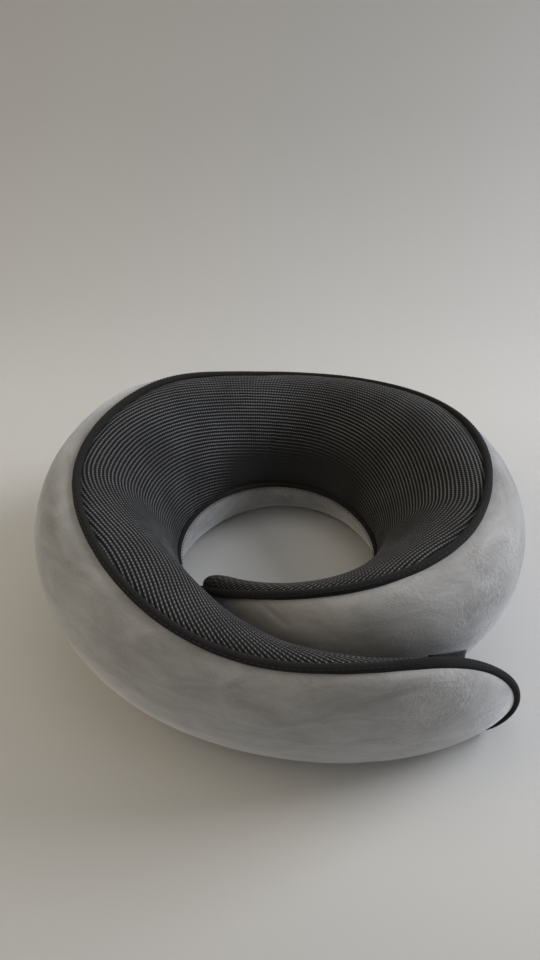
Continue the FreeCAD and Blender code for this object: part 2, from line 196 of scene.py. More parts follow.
def surface(theta, phi, depth=0.0, flat=None):
    """Points of the layer depth inside the pillow, kept softly above the height flat."""
    theta, phi = np.broadcast_arrays(np.asarray(theta, float), np.asarray(phi, float))
    half = (height_at(theta) + SINK) / 2
    scale = tip_scale(theta, np.max(depth))
    a = np.maximum(0.3, width_at(theta) * scale - depth)
    b = np.maximum(0.3, half * scale - depth)
    rise = b * np.sin(np.radians(phi))
    u = a * np.cos(np.radians(phi)) + LEAN * rise - brow(theta, phi) + swell(theta, phi, *SHOULDER)
    droop = np.where(theta > 0, TIP_DROOP_OUTER, TIP_DROOP_INNER) * tip_share(theta) ** 2
    z = half - SINK - droop + rise + swell(theta, phi, *CREST)
    if flat is not None:
        z = flat + (z - flat + np.hypot(z - flat, CLAMP)) / 2
    p, n = path(theta), outward(theta)
    return np.stack([p[..., 0] + u * n[..., 0], p[..., 1] + u * n[..., 1], z], -1)


def unit(v):
    return v / np.maximum(np.linalg.norm(v, axis=-1, keepdims=True), 1e-12)


def facing(theta, phi):
    """Outward normals of the outside."""
    along = surface(theta + 0.2, phi) - surface(theta - 0.2, phi)
    turn = surface(theta, phi + 0.5) - surface(theta, phi - 0.5)
    n = unit(np.cross(along, turn))
    inside = surface(theta, phi, 1.0) - surface(theta, phi)
    return np.where(np.sum(n * inside, -1, keepdims=True) > 0, -n, n)


def steps_to(start, end, step, rounds):
    """Angles from 0 over start to end, about a step in millimetres apart, and closer after start."""
    body = np.linspace(0, start, 2 + int(abs(start) * 1.9 / step))
    k = np.sin(np.linspace(0, math.pi / 2, rounds + 1)[1:])
    return np.concatenate([body, start + (end - start) * k])


def thetas_to(tip, step, share=TIP_CUT, rounds=14):
    """Angles from the middle of the back to an arm's end, closer together where it rounds."""
    start, pole = TIP_OUTER if tip > 0 else TIP_INNER
    return steps_to(start, start + (pole - start) * share, step, rounds)


def seam_thetas(tip, step, rounds):
    """Angles along a seam; the outer arm's seams end at END_SEAM_TO."""
    if tip < 0:
        return thetas_to(tip, step, rounds=rounds)
    return steps_to(END_SEAM_FROM, END_SEAM_TO, step, rounds)


# ---------------------------------------------------------------- mesh building

def make(name, points, faces, uv=None, smooth=True):
    """Mesh object from millimetre points; faces is a list of index arrays of 3 or 4 columns."""
    me = bpy.data.meshes.new(name)
    points = np.asarray(points, float).reshape(-1, 3) * MM
    loops = np.concatenate([f.ravel() for f in faces]).astype(np.int32)
    sizes = np.concatenate([np.full(len(f), f.shape[1]) for f in faces]).astype(np.int32)
    me.vertices.add(len(points))
    me.vertices.foreach_set("co", points.astype(np.float32).ravel())
    me.loops.add(len(loops))
    me.loops.foreach_set("vertex_index", loops)
    me.polygons.add(len(sizes))
    starts = np.concatenate([[0], np.cumsum(sizes)[:-1]])
    me.polygons.foreach_set("loop_start", starts.astype(np.int32))
    me.polygons.foreach_set("loop_total", sizes)
    me.update(calc_edges=True)
    me.validate()
    me.polygons.foreach_set("use_smooth", np.full(len(me.polygons), smooth))
    if uv is not None:
        layer = me.uv_layers.new(name="Cloth")
        index = np.zeros(len(me.loops), np.int32)
        me.loops.foreach_get("vertex_index", index)
        places = np.asarray(uv, float).reshape(-1, 2) * MM
        layer.data.foreach_set("uv", places[index].astype(np.float32).ravel())
    ob = bpy.data.objects.new(name, me)
    bpy.context.scene.collection.objects.link(ob)
    return ob


def grid_faces(rows, cols, wrap_rows=False, wrap_cols=False, flip=False, offset=0):
    r = np.arange(rows if wrap_rows else rows - 1)
    c = np.arange(cols if wrap_cols else cols - 1)
    i, j = np.meshgrid(r, c, indexing="ij")
    i2, j2 = (i + 1) % rows, (j + 1) % cols
    quad = np.stack([i * cols + j, i2 * cols + j, i2 * cols + j2, i * cols + j2], -1).reshape(-1, 4)
    return (quad[:, ::-1] if flip else quad) + offset


def shell(name, outer, inner, uv, flip):
    """A closed sheet of cloth between two grids of points with the same rows and columns."""
    rows, cols = outer.shape[:2]
    n = rows * cols
    faces = [grid_faces(rows, cols, flip=flip), grid_faces(rows, cols, flip=not flip, offset=n)]
    edge = np.concatenate([
        np.arange(cols), np.arange(1, rows) * cols + cols - 1,
        (rows - 1) * cols + np.arange(cols - 2, -1, -1), np.arange(rows - 2, -1, -1) * cols,
    ])  # fmt: skip
    a, b = edge[:-1], edge[1:]
    rim = np.stack([a, b, b + n, a + n], -1)
    faces.append(rim if flip else rim[:, ::-1])
    points = np.concatenate([outer.reshape(-1, 3), inner.reshape(-1, 3)])
    ob = make(name, points, faces, np.concatenate([uv.reshape(-1, 2)] * 2))
    ends = np.zeros(2 * n, int)
    ends[edge], ends[edge + n] = 1, 2
    pair = np.zeros(2 * len(ob.data.edges), np.int32)
    ob.data.edges.foreach_get("vertices", pair)
    a, b = ends[pair.reshape(-1, 2)].T
    ob.data.edges.foreach_set("use_edge_sharp", (a == b) & (a > 0))
    return ob


def sweep(name, rings, uv=None, cap=True, flip=False):
    """A closed tube through rings of points, rows x around."""
    rows, cols = rings.shape[:2]
    points = rings.reshape(-1, 3)
    faces = [grid_faces(rows, cols, wrap_cols=True, flip=flip)]
    if cap:
        points = np.concatenate([points, rings[0].mean(0)[None], rings[-1].mean(0)[None]])
        if uv is not None:
            uv = np.concatenate([uv.reshape(-1, 2), uv[0].mean(0)[None], uv[-1].mean(0)[None]])
        j = np.arange(cols)
        j2 = (j + 1) % cols
        first = np.stack([j, j2, np.full(cols, rows * cols)], -1)
        last = np.stack([(rows - 1) * cols + j2, (rows - 1) * cols + j, np.full(cols, rows * cols + 1)], -1)
        faces += [first[:, ::-1], last[:, ::-1]] if flip else [first, last]
    return make(name, points, faces, uv)


def wave(p, seed, size):
    """Smooth, seeded unevenness between about -1 and 1, over lengths of about size."""
    rng = np.random.default_rng(seed)
    total = 0.0
    for _ in range(7):
        k = unit(rng.normal(size=3)) * (2 * math.pi / size) * rng.uniform(0.6, 1.4)
        total = total + np.sin(p @ k + rng.uniform(0, 2 * math.pi))
    return total / 3.0


def arcs(points):
    """Length along each row of a grid from its first column."""
    steps = np.linalg.norm(np.diff(points, axis=1), axis=-1)
    return np.concatenate([np.zeros((len(points), 1)), np.cumsum(steps, 1)], 1)


def ring_length(thetas):
    """Length along the ring at each angle from the middle of the back."""
    fine = np.linspace(0, thetas[-1], 600)
    p = path(fine)
    s = np.concatenate([[0], np.cumsum(np.linalg.norm(np.diff(p, axis=0), axis=1))])
    return np.interp(np.abs(thetas), np.abs(fine), s) * np.sign(thetas[-1])


def climb(thetas):
    """How far the ribs have climbed at each angle."""
    fine = np.linspace(0, thetas[-1], 600)
    at, slope = np.array(RIB_CLIMB).T
    s = ring_length(fine)
    c = np.concatenate([[0], np.cumsum(np.interp(0.5 * (fine[1:] + fine[:-1]), at, slope) * np.diff(s))])
    return np.interp(np.abs(thetas), np.abs(fine), c)


# ---------------------------------------------------------------- materials

def node_tree(name):
    mat = bpy.data.materials.new(name)
    mat.use_nodes = True
    nt = mat.node_tree
    nt.nodes.clear()
    out = nt.nodes.new("ShaderNodeOutputMaterial")
    bsdf = nt.nodes.new("ShaderNodeBsdfPrincipled")
    nt.links.new(bsdf.outputs[0], out.inputs[0])
    return mat, nt, bsdf


def put(nt, kind, inputs=None, **settings):
    node = nt.nodes.new(kind)
    for key, value in settings.items():
        setattr(node, key, value)
    for key, value in (inputs or {}).items():
        if isinstance(value, bpy.types.NodeSocket):
            nt.links.new(value, node.inputs[key])
        else:
            node.inputs[key].default_value = value
    return node


def calc(nt, operation, a, b=0.0, c=0.0):
    return put(nt, "ShaderNodeMath", {0: a, 1: b, 2: c}, operation=operation).outputs[0]


def mix(nt, share, a, b):
    node = put(nt, "ShaderNodeMix", data_type="RGBA")
    for socket, value in zip((node.inputs[0], node.inputs[6], node.inputs[7]), (share, a, b)):
        if isinstance(value, bpy.types.NodeSocket):
            nt.links.new(value, socket)
        else:
            socket.default_value = value
    return node.outputs[2]


def noise(nt, scale, detail=3.0, rough=0.5, vector=None, distortion=0.0):
    vector = vector or put(nt, "ShaderNodeTexCoord").outputs["Object"]
    inputs = {"Vector": vector, "Scale": scale, "Detail": detail, "Roughness": rough}
    inputs["Distortion"] = distortion
    return put(nt, "ShaderNodeTexNoise", inputs).outputs["Fac"]


def span(nt, value, low, high, to_low=0.0, to_high=1.0):
    inputs = {0: value, 1: low, 2: high, 3: to_low, 4: to_high}
    return put(nt, "ShaderNodeMapRange", inputs, clamp=True).outputs[0]


def bump(nt, bsdf, height, strength, distance):
    node = put(nt, "ShaderNodeBump", {"Height": height, "Strength": strength, "Distance": distance})
    nt.links.new(node.outputs[0], bsdf.inputs["Normal"])


def rgb(r, g, b):
    return (r, g, b, 1.0)


def velour_material():
    mat, nt, bsdf = node_tree("velour")
    cloth = put(nt, "ShaderNodeUVMap", uv_map="Cloth").outputs[0]
    stretched = put(nt, "ShaderNodeMapping", {"Vector": cloth, "Scale": (0.55, 1.0, 1.0)}).outputs[0]
    nap = noise(nt, 75.0, 5.0, 0.62, stretched, 0.6)
    brushed = noise(nt, 22.0, 3.0, 0.55, stretched, 0.4)
    fibre = noise(nt, 1500.0, 2.0, 0.6)
    shade = span(nt, nap, 0.36, 0.64, -0.55, 0.55)
    shade = calc(nt, "ADD", shade, span(nt, brushed, 0.34, 0.66, -0.45, 0.45))
    shade = calc(nt, "ADD", shade, span(nt, fibre, 0.25, 0.75, -0.35, 0.35))
    place = put(nt, "ShaderNodeSeparateXYZ", {0: put(nt, "ShaderNodeTexCoord").outputs["Object"]})
    ruffled = span(nt, noise(nt, 24.0, 3.0, 0.6), 0.42, 0.6)
    ruffled = calc(nt, "MULTIPLY", ruffled, span(nt, place.outputs[0], 0.04, 0.11, 0.18, 1.0))
    tufts = noise(nt, 420.0, 2.0, 0.6)
    tufts = calc(nt, "MULTIPLY", span(nt, tufts, 0.38, 0.62, -1.0, 1.0), ruffled)
    shade = calc(nt, "MULTIPLY_ADD", tufts, 0.55, shade)
    shade = span(nt, shade, -1.25, 1.25)
    colour = mix(nt, shade, rgb(0.190, 0.186, 0.180), rgb(0.375, 0.370, 0.362))
    nt.links.new(colour, bsdf.inputs["Base Color"])
    nt.links.new(span(nt, shade, 0.0, 1.0, 0.97, 0.86), bsdf.inputs["Roughness"])
    bsdf.inputs["Specular IOR Level"].default_value = 0.15
    bsdf.inputs["Sheen Weight"].default_value = 0.75
    bsdf.inputs["Sheen Roughness"].default_value = 0.42
    bsdf.inputs["Sheen Tint"].default_value = rgb(0.93, 0.95, 1.0)
    pile = calc(nt, "ADD", calc(nt, "MULTIPLY", fibre, 0.35), calc(nt, "MULTIPLY", nap, 0.9))
    pile = calc(nt, "MULTIPLY_ADD", tufts, 0.22, pile)
    bump(nt, bsdf, pile, 0.55, 0.0011)
    return mat


def lattice(nt):
    """Rib height and dot height of the spacer mesh, each from 0 to 1."""
    cloth = put(nt, "ShaderNodeUVMap", uv_map="Cloth").outputs[0]
    wobble = noise(nt, 160.0, 2.0, 0.5)
    parts = put(nt, "ShaderNodeSeparateXYZ", {0: cloth})
    along, across = parts.outputs[0], parts.outputs[1]
    across = calc(nt, "ADD", across, span(nt, wobble, 0.3, 0.7, -0.00012, 0.00012))
    rib_number = calc(nt, "DIVIDE", across, RIB_PITCH * MM)
    rib = calc(nt, "COSINE", calc(nt, "MULTIPLY", rib_number, 2 * math.pi))
    rib = calc(nt, "MULTIPLY_ADD", rib, 0.5, 0.5)
    rib_index = calc(nt, "ROUND", rib_number)
    shifted = calc(nt, "MULTIPLY_ADD", rib_index, DOT_SHIFT * DOT_PITCH * MM, along)
    dot = calc(nt, "COSINE", calc(nt, "MULTIPLY", shifted, 2 * math.pi / (DOT_PITCH * MM)))
    dot = calc(nt, "MULTIPLY", calc(nt, "MULTIPLY_ADD", dot, 0.5, 0.5), rib)
    return rib, dot


def mesh_material():
    mat, nt, bsdf = node_tree("spacer_mesh")
    rib, dot = lattice(nt)
    # painted shade: where this attribute is high the ribs and dots fade and the ground turns an even dark
    # grey, standing in for the shade in the seam's dent and low on the back wall; it also fades the ribs on
    # the outer arm's end
    painted_shade_and_plain = put(nt, "ShaderNodeAttribute", attribute_name="painted_shade_and_plain").outputs["Fac"]
    ribbed = span(nt, painted_shade_and_plain, 0.0, 1.0, 1.0, 0.12)
    rib, dot = calc(nt, "MULTIPLY", rib, ribbed), calc(nt, "MULTIPLY", dot, ribbed)
    yarn = noise(nt, 900.0, 2.0, 0.6)
    worn = noise(nt, 30.0, 2.0, 0.5)
    ground = mix(nt, span(nt, yarn, 0.3, 0.7), rgb(0.004, 0.004, 0.004), rgb(0.009, 0.009, 0.009))
    ground = mix(nt, painted_shade_and_plain, ground, mix(nt, yarn, rgb(0.014, 0.014, 0.014), rgb(0.036, 0.036, 0.036)))
    thread = mix(nt, span(nt, worn, 0.35, 0.65), rgb(0.045, 0.045, 0.046), rgb(0.070, 0.070, 0.071))
    pale = mix(nt, span(nt, worn, 0.35, 0.65), rgb(0.125, 0.125, 0.126), rgb(0.185, 0.185, 0.186))
    colour = mix(nt, span(nt, rib, 0.45, 0.95), ground, thread)
    colour = mix(nt, span(nt, dot, 0.5, 0.92), colour, pale)
    nt.links.new(colour, bsdf.inputs["Base Color"])
    bsdf.inputs["Roughness"].default_value = 0.88
    bsdf.inputs["Specular IOR Level"].default_value = 0.12
    bsdf.inputs["Sheen Weight"].default_value = 0.04
    height = calc(nt, "ADD", calc(nt, "MULTIPLY", dot, 0.7), calc(nt, "MULTIPLY", rib, 0.3))
    height = calc(nt, "ADD", height, calc(nt, "MULTIPLY", yarn, 0.2))
    bump(nt, bsdf, height, 0.9, 0.0006)
    return mat


def woven_material(name, dark, pale, pitch, rough=0.8, high=0.00025, sheen=0.25, gloss=0.5):
    """Plain weave in the piece's own cloth coordinates."""
    mat, nt, bsdf = node_tree(name)
    cloth = put(nt, "ShaderNodeUVMap", uv_map="Cloth").outputs[0]
    parts = put(nt, "ShaderNodeSeparateXYZ", {0: cloth})
    turn = 2 * math.pi / (pitch * MM)
    warp = calc(nt, "SINE", calc(nt, "MULTIPLY", parts.outputs[0], turn))
    weft = calc(nt, "SINE", calc(nt, "MULTIPLY", parts.outputs[1], turn))
    weave = calc(nt, "MULTIPLY_ADD", calc(nt, "MULTIPLY", warp, weft), 0.5, 0.5)
    dust = noise(nt, 260.0, 3.0, 0.6)
    shade = calc(nt, "ADD", calc(nt, "MULTIPLY", weave, 0.55), calc(nt, "MULTIPLY", dust, 0.45))
    nt.links.new(mix(nt, shade, dark, pale), bsdf.inputs["Base Color"])
    bsdf.inputs["Roughness"].default_value = rough
    bsdf.inputs["Specular IOR Level"].default_value = gloss
    bsdf.inputs["Sheen Weight"].default_value = sheen
    bsdf.inputs["Sheen Roughness"].default_value = 0.4
    bump(nt, bsdf, calc(nt, "ADD", weave, calc(nt, "MULTIPLY", dust, 0.5)), 0.7, high)
    return mat


def grain_material(name, dark, pale, scale, rough, high, metallic=0.0, sheen=0.0):
    """Uneven solid material: foam cells, hook pile, lacquered metal or moulded nylon."""
    mat, nt, bsdf = node_tree(name)
    fine = noise(nt, scale, 4.0, 0.65)
    broad = noise(nt, scale * 0.06, 2.0, 0.5)
    shade = calc(nt, "ADD", calc(nt, "MULTIPLY", fine, 0.7), calc(nt, "MULTIPLY", broad, 0.3))
    nt.links.new(mix(nt, span(nt, shade, 0.3, 0.7), dark, pale), bsdf.inputs["Base Color"])
    nt.links.new(span(nt, broad, 0.3, 0.7, rough, min(1.0, rough + 0.12)), bsdf.inputs["Roughness"])
    bsdf.inputs["Metallic"].default_value = metallic
    bsdf.inputs["Sheen Weight"].default_value = sheen
    bump(nt, bsdf, fine, 0.6, high)
    return mat


VELOUR = velour_material()
MESH = mesh_material()
TAPE_COLOURS = rgb(0.006, 0.006, 0.006), rgb(0.020, 0.020, 0.020)
TAPE = woven_material("binding_tape", *TAPE_COLOURS, 0.55, 0.9, sheen=0.03, gloss=0.18)
ZIP_CLOTH = woven_material("zip_cloth", rgb(0.010, 0.010, 0.012), rgb(0.035, 0.035, 0.038), 0.7)
RIBBON = woven_material("label_ribbon", rgb(0.55, 0.55, 0.54), rgb(0.80, 0.80, 0.79), 0.5)
THREAD_COLOURS = rgb(0.008, 0.008, 0.008), rgb(0.028, 0.028, 0.028)
THREAD = woven_material("thread", *THREAD_COLOURS, 0.3, 0.7, sheen=0.1, gloss=0.25)
FOAM = grain_material("foam", rgb(0.62, 0.55, 0.40), rgb(0.86, 0.80, 0.64), 700.0, 0.85, 0.0006)
HOOK_COLOURS = rgb(0.004, 0.004, 0.005), rgb(0.04, 0.04, 0.043)
HOOKS = grain_material("hook_pile", *HOOK_COLOURS, 1600.0, 0.7, 0.0009, sheen=0.2)
LOOP_COLOURS = rgb(0.006, 0.006, 0.007), rgb(0.035, 0.035, 0.038)
LOOPS = grain_material("loop_pile", *LOOP_COLOURS, 900.0, 0.9, 0.0012, sheen=0.6)
NYLON = grain_material("nylon", rgb(0.010, 0.010, 0.011), rgb(0.03, 0.03, 0.032), 400.0, 0.38, 0.0001)
LACQUER_COLOURS = rgb(0.012, 0.012, 0.013), rgb(0.03, 0.03, 0.032)
LACQUER = grain_material("black_lacquer", *LACQUER_COLOURS, 500.0, 0.28, 0.00006, 0.7)


def finish_piece(ob, material):
    ob.data.materials.clear()
    ob.data.materials.append(material)
    return ob


# ---------------------------------------------------------------- the two arms; bends() only bakes each piece's placement and bends nothing

SIDES = {
    "outer": {"tip": 1, "start": (-0.108, 0.042, 0.05), "end": (-0.108, -0.024, 0.05)},
    "inner": {"tip": -1, "start": (0.104, 0.047, 0.05), "end": (0.104, -0.018, 0.05)},
}


def bends(ob, side):
    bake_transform(ob)


# ---------------------------------------------------------------- cover and foam

def seam_pull(length, total):
    """How far the seams draw the cloth in, from the distance to each edge of the panel."""
    near = np.exp(-((length / SEAM_WIDE) ** 2)) + np.exp(-(((total - length) / SEAM_WIDE) ** 2))
    return SEAM_PULL * near


def crease(points, start, end, deep, wide):
    """Depth of a short fold that runs between two places on the surface."""
    a, b = surface(*start), surface(*end)
    along = np.clip(((points - a) @ (b - a)) / ((b - a) @ (b - a)), 0, 1)
    away = np.linalg.norm(points - a - along[..., None] * (b - a), axis=-1)
    return deep * np.exp(-((away / wide) ** 2)) * (0.35 + 0.65 * np.sin(math.pi * along))


def velour(side):
    tip = SIDES[side]["tip"]
    step, rounds, columns = VELOUR_GRID
    thetas = seam_thetas(tip, step, rounds)
    share = np.linspace(0, 1, columns)[None, :]
    low = (low_seam_at(thetas) - 360)[:, None]
    high = top_seam_at(thetas)[:, None]
    phi = low + (high - low) * share
    theta = np.repeat(thetas[:, None], phi.shape[1], 1)
    base = surface(theta, phi)
    run = arcs(base)
    total = run[:, -1:]
    free = tip_scale(theta)
    dent = seam_pull(run, total) * np.clip(free * 1.5, 0, 1)
    dent = dent - 0.32 * wave(base, 3, 62.0) * free - 0.12 * wave(base, 5, 21.0) * free
    dent = np.maximum(dent, 0.02)
    dent = dent + sum(crease(base, *fold) for fold in VELOUR_FOLDS[side])
    outer = surface(theta, phi, 0.0, 0.0) - facing(theta, phi) * dent[..., None]
    outer[..., 2] = np.maximum(outer[..., 2], LEAST_Z)
    inner = surface(theta, phi, COVER, COVER * 0.9) - facing(theta, phi) * (dent[..., None] * 0.4)
    s = ring_length(thetas)[:, None] + 0 * phi
    uv = np.stack([s, run - total * 0.5], -1)
    ob = shell("velour_" + side, outer, inner, uv, tip > 0)
    finish_piece(ob, VELOUR)
    names = ["velour_back", "velour_flex_" + side, "velour_arm_" + side]
    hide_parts(*names)
    bends(ob, side)
    return ob


def mesh_panel(side):
    tip = SIDES[side]["tip"]
    step, rounds, columns = MESH_GRID
    thetas = seam_thetas(tip, step, rounds)
    if tip > 0:
        beyond = np.linspace(END_SEAM_TO, TIP_OUTER[1] - 0.01, 10)
        thetas = np.concatenate([thetas, beyond[1:]])
    share = np.linspace(0, 1, columns)[None, :]
    low, high = low_seam_at(thetas)[:, None], top_seam_at(thetas)[:, None]
    phi = low + (high - low) * share
    theta = np.repeat(thetas[:, None], phi.shape[1], 1)
    base = surface(theta, phi, 0.0, 0.2)
    run = arcs(base)
    total = run[:, -1:]
    free = np.clip(tip_scale(theta), 0, 1)
    across = run - climb(thetas)[:, None]
    rib = 0.5 + 0.5 * np.cos(2 * math.pi * across / RIB_PITCH)
    at_end = ease(theta, *RIBS_END)
    edge = np.clip(np.minimum(run, total - run) / 4.0, 0, 1) * (1 - at_end)
    pull = seam_pull(run, total) * np.clip(free * 1.5, 0, 1)
    dent = pull + RIB_HIGH * (1 - rib * edge) * free - 0.25 * wave(base, 11, 48.0) * free
    dent = np.maximum(dent, 0.0)
    dent = dent + sum(crease(base, *fold) for fold in MESH_FOLDS[side])
    outer = base - facing(theta, phi) * dent[..., None]
    inner = surface(theta, phi, COVER, 0.2 + COVER) - facing(theta, phi) * (pull * 0.4)[..., None]
    for layer, least in ((outer, 0.15), (inner, 0.6)):
        layer[..., 2] = np.maximum(layer[..., 2], least)
    uv = np.stack([ring_length(thetas)[:, None] + 0 * phi, across], -1)
    ob = shell("mesh_" + side, outer, inner, uv, tip < 0)
    # painted shade: the ribs are faded along the upper seam at the back right, where the seam's dent lies in
    # shade, and low on the back wall inside the hole, where shade falls; on the outer arm's end they fade
    # out as well
    painted_seam_shade = ease(theta, -4.0, -22.0) * ease(theta, -75.0, -50.0) * ease(total - run, 9.0, 5.0)
    painted_back_wall_shade = ease(theta, -62.0, -30.0) * ease(theta, 52.0, 22.0) * ease(run / total, 0.44, 0.10)
    painted_shade_and_plain = np.maximum(np.maximum(painted_seam_shade, 0.8 * painted_back_wall_shade), at_end)
    painted_shade_and_plain = np.concatenate([painted_shade_and_plain.ravel()] * 2).astype(np.float32)
    ob.data.attributes.new("painted_shade_and_plain", "FLOAT", "POINT").data.foreach_set("value", painted_shade_and_plain)
    finish_piece(ob, MESH)
    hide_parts("mesh_back", "mesh_flex_" + side, "mesh_arm_" + side)
    bends(ob, side)
    return ob


def foam(side):
    tip = SIDES[side]["tip"]
    thetas = thetas_to(tip, 4.0, FOAM_CUT)
    phi = np.arange(0, 360, 5.0)[None, :]
    depth = FOAM_DEPTH + 0.5
    rings = surface(thetas[:, None], phi, depth, depth)
    run = arcs(rings)
    uv = np.stack([ring_length(thetas)[:, None] + 0 * run, run], -1)
    ob = sweep("foam_" + side, rings, uv, flip=tip < 0)
    finish_piece(ob, FOAM)
    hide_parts("foam_back", "foam_flex_" + side, "foam_arm_" + side)
    bends(ob, side)
    return ob


# ---------------------------------------------------------------- binding

def seam_line(side, step):
    """Points and outward normals along the upper seam, round the arm's end and back below."""
    tip = SIDES[side]["tip"]
    thetas = seam_thetas(tip, step, 40 if tip > 0 else 12)
    upper, lower = top_seam_at(thetas), low_seam_at(thetas)
    up_p, up_n = surface(thetas, upper), facing(thetas, upper)
    low_p, low_n = surface(thetas, lower)[::-1], facing(thetas, lower)[::-1]
    if tip > 0:
        return np.concatenate([up_p, low_p[1:]]), np.concatenate([up_n, low_n[1:]])
    pole = TIP_INNER[1]
    d = path(np.array([pole - 0.5, pole + 0.5]))
    out = np.append(d[0] - d[1], 0.0)
    out = out / np.linalg.norm(out)
    lift = BINDING_TIP_UP * np.minimum(1.0, 2 * tip_share(thetas))
    up_p = up_p + up_n * lift[:, None]
    low_p = low_p + low_n * lift[::-1, None]
    k = np.linspace(0, 1, 9)[1:-1, None]
    bow = (4 * k * (1 - k)) * 0.8
    turn_p = up_p[-1] * (1 - k) + low_p[0] * k + out * (BINDING_TIP_UP + bow)
    turn_n = unit(up_n[-1] * (1 - k) ** 2 + out * 2 * k * (1 - k) * 2 + low_n[0] * k**2)
    return np.concatenate([up_p, turn_p, low_p]), np.concatenate([up_n, turn_n, low_n])


def resample(points, normals, step):
    s = np.concatenate([[0], np.cumsum(np.linalg.norm(np.diff(points, axis=0), axis=1))])
    t = np.linspace(0, s[-1], 1 + int(s[-1] / step))
    p = np.stack([np.interp(t, s, points[:, k]) for k in range(3)], -1)
    n = unit(np.stack([np.interp(t, s, normals[:, k]) for k in range(3)], -1))
    for _ in range(2):
        p[1:-1] = (p[:-2] + 2 * p[1:-1] + p[2:]) / 4
        n[1:-1] = unit(n[:-2] + 2 * n[1:-1] + n[2:])
    return p, n, t


def frames(side, step):
    p, n, t = resample(*seam_line(side, 1.2), step)
    ahead = unit(np.gradient(p, axis=0))
    across = unit(np.cross(n, ahead))
    n = unit(np.cross(ahead, across))
    return p, n, across, t


# The folded tape's outline, from its foot on one side over the crown to the other, and between
FOLDED_TAPE = ((-2.30, -1.45), (-2.32, 0.35), (-2.05, 1.05), (-1.45, 1.62), (-0.75, 1.98), (0.0, 2.10),
               (0.75, 1.98), (1.45, 1.62), (2.05, 1.05), (2.32, 0.35), (2.30, -1.45),
               (0.0, -1.55))  # fmt: skip
LOWER_FROM, LOWER_EASE, LOWER_LESS = 0.62, 25.0, 0.38  # where the tape narrows, below, and by how much
END_THICKER, END_SPREAD = 0.65, 26.0  # how much thicker it is round the outer arm's end


def binding(side):
    p, n, across, t = frames(side, 1.5)
    wide, high = np.array(FOLDED_TAPE).T[:, None]
    pucker = 1 + 0.035 * np.sin(t * 2 * math.pi / (STITCH + STITCH_GAP)) + 0.03 * wave(p, 21, 24.0)
    lower = t[-1] * LOWER_FROM
    narrow = 1 - LOWER_LESS * ease(t, lower, lower + LOWER_EASE)[:, None]
    u = narrow * wide * (1 + 0.03 * wave(p, 23, 17.0)[:, None])
    if side == "outer":
        pucker = pucker * (1 + END_THICKER * np.exp(-(((t - 0.5 * t[-1]) / END_SPREAD) ** 2)))
    v = BINDING_UP + np.where(high > 0, narrow * high * pucker[:, None], high)
    rings = p[:, None] + across[:, None] * u[..., None] + n[:, None] * v[..., None]
    z = rings[..., 2]
    rings[..., 2] = np.where(z < 0.6, 0.1 + 0.5 * np.exp(np.minimum(z - 0.6, 0) / 0.5), z)
    uv = np.stack([t[:, None] + 0 * u, np.broadcast_to(np.arange(12) * 0.75, u.shape)], -1)
    ob = sweep("binding_" + side, rings, uv, flip=False)
    finish_piece(ob, TAPE)
    names = ["binding_top_back", "binding_low_back", "binding_arm_" + side]
    names += ["binding_top_flex_" + side, "binding_low_flex_" + side]
    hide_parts(*names)
    bends(ob, side)
    return ob


def thread(name, p, n, across, radius, sides=6):
    """One mesh of short threads; p, n, across are arrays: stitches x points along."""
    count, rows = p.shape[:2]
    a = np.linspace(0, 2 * math.pi, sides, endpoint=False)
    taper = np.sqrt(np.clip(1 - np.linspace(-0.96, 0.96, rows) ** 4, 0, 1))[None, :, None, None]
    turn_x, turn_y = np.cos(a)[:, None], np.sin(a)[:, None]
    ring = across[:, :, None] * turn_x + n[:, :, None] * turn_y
    pts = p[:, :, None] + ring * radius * taper
    per = rows * sides
    quads = grid_faces(rows, sides, wrap_cols=True)
    faces = [(quads[None] + (np.arange(count) * per)[:, None, None]).reshape(-1, 4)]
    j = np.arange(1, sides - 1)
    first = np.stack([0 * j, j, j + 1], -1)
    last = (rows - 1) * sides + first[:, ::-1]
    for tri in (first, last):
        faces.append((tri[None] + (np.arange(count) * per)[:, None, None]).reshape(-1, 3))
    i, j = np.meshgrid(np.arange(rows) * 0.3, np.arange(sides) * 0.1, indexing="ij")
    uv = np.broadcast_to(np.stack([i, j], -1), (count, rows, sides, 2))
    ob = make(name, pts, faces, uv)
    return finish_piece(ob, THREAD)


def stitches(side):
    """The row of stitches that holds the tape, on its neck side."""
    p, n, across, t = frames(side, 0.4)
    whole = STITCH + STITCH_GAP
    count = int((t[-1] - 2) / whole)
    rows = 5
    at = (np.arange(count)[:, None] * whole + 1.0 + np.linspace(0, STITCH, rows)[None]) / 0.4
    i = np.clip(np.round(at * (len(t) - 1) / (t[-1] / 0.4)).astype(int), 0, len(t) - 1)
    tip = SIDES[side]["tip"]
    lift = (0.10 + 0.22 * np.sin(np.linspace(0, math.pi, rows)))[None, :, None]
    inward = -1.0 if tip > 0 else 1.0
    centre = p[i] + n[i] * (BINDING_UP + 1.42 + lift) + across[i] * inward * 1.62
    centre[..., 2] = np.maximum(centre[..., 2], 0.35)
    ob = thread("stitches_" + side, centre, n[i], across[i], 0.21)
    bends(ob, side)
    return ob


# ---------------------------------------------------------------- zipper

def zip_circle():
    a, b, c = (surface(t, ZIP_PHI) for t in (-32.0, 0.0, 32.0))
    d = 2 * (a[0] * (b[1] - c[1]) + b[0] * (c[1] - a[1]) + c[0] * (a[1] - b[1]))
    sa, sb, sc = (p[0] ** 2 + p[1] ** 2 for p in (a, b, c))
    x = (sa * (b[1] - c[1]) + sb * (c[1] - a[1]) + sc * (a[1] - b[1])) / d
    y = (sa * (c[0] - b[0]) + sb * (a[0] - c[0]) + sc * (b[0] - a[0])) / d
    return x, y, math.hypot(b[0] - x, b[1] - y)


